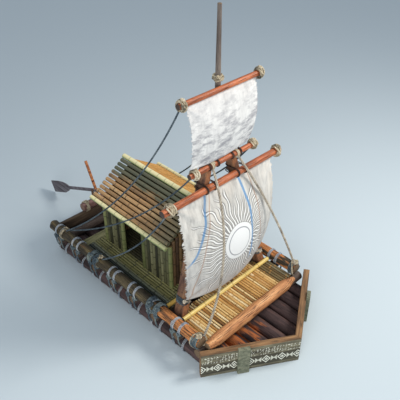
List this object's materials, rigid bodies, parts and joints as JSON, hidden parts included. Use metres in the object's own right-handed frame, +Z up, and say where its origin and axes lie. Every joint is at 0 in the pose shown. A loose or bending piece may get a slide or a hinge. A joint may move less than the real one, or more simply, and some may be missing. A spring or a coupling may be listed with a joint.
{
  "type": "lashed log sailing raft",
  "caption": "Sailing raft of lashed logs with a bamboo deck, thatched hut, two-legged mast with mainsail and topsail, V-shaped bow boards and a swinging steering oar.",
  "frame": {"origin": "under the middle of the overall box, on the plane the hull logs stand on", "axes": "+X to the bow, +Y to port, +Z up"},
  "size_m": [10.09, 4.02, 7.76],
  "materials": {
    "hull_timber": "weathered barkless log",
    "hewn_timber": "rough hewn, oiled",
    "sawn_board": "weathered board with painted band",
    "bamboo_gold": "split bamboo, dry",
    "bamboo_green": "weathered bamboo",
    "bamboo_wall": "upright bamboo, dull",
    "bamboo_roof": "dry bamboo",
    "bamboo_pale": "pale bamboo",
    "woven_mat": "woven reed matting",
    "mast_timber": "hewn mast timber",
    "red_pole": "smooth red-brown pole",
    "grey_spar": "grey-brown spar",
    "canvas": "off-white canvas",
    "rope": "laid natural fibre rope",
    "oar_timber": "grey weathered wood",
    "tiller_timber": "orange-brown wood",
    "dark_pin": "hardwood pin"
  },
  "bodies": {
    "raft": {"hull_logs": "hull_timber", "crossbeams": "bamboo_green", "gunwale_logs": "hull_timber", "front_beam": "hewn_timber", "bow_board_port": "sawn_board", "bow_board_starboard": "sawn_board", "bow_cleats": "sawn_board", "stern_board": "hewn_timber", "main_deck_poles": "bamboo_green", "fore_deck_poles": "bamboo_gold", "deck_edge_plank": "bamboo_green", "deck_edge_poles": "bamboo_gold", "hut_wall_port": "bamboo_wall", "hut_wall_starboard_aft": "bamboo_wall", "hut_wall_starboard_fore": "bamboo_wall", "hut_wall_fore": "bamboo_wall", "hut_wall_aft": "bamboo_wall", "hut_posts": "bamboo_green", "door_lintel": "bamboo_green", "rafters": "bamboo_roof", "roof_poles_starboard": "bamboo_roof", "ridge_and_eave_poles": "bamboo_pale", "roof_mat_port": "woven_mat", "mast_leg_port": "mast_timber", "mast_leg_starboard": "mast_timber", "mast_steps": "hewn_timber", "topmast": "grey_spar", "main_yard": "red_pole", "topsail_yard_lower": "red_pole", "topsail_yard_upper": "red_pole", "mainsail": "canvas", "topsail": "canvas", "gunwale_lashings": "rope", "hull_lashings": "rope", "topmast_lashing": "rope", "yard_lashings": "rope", "stay_topsail_aft": "rope", "stay_lower_yard_aft": "rope", "stay_main_yard_aft": "rope", "stay_bow": "rope", "steering_log": "hewn_timber"},
    "crutch": {"oar_crutch": "hewn_timber", "oar_pin": "dark_pin"},
    "oar": {"oar_loom": "oar_timber", "oar_blade": "oar_timber", "oar_tiller": "tiller_timber"}
  },
  "joints": [
    {"name": "oar_swing", "type": "hinge", "parent": "raft", "child": "crutch", "pos_m": [-2.465, -0.3, 1.05], "axis": [0, 0, 1], "range_deg": [-35, 35]},
    {"name": "oar_dip", "type": "hinge", "parent": "crutch", "child": "oar", "pos_m": [-2.465, -0.3, 1.333], "axis": [0, 1, 0], "range_deg": [-8, 30]}
  ]
}
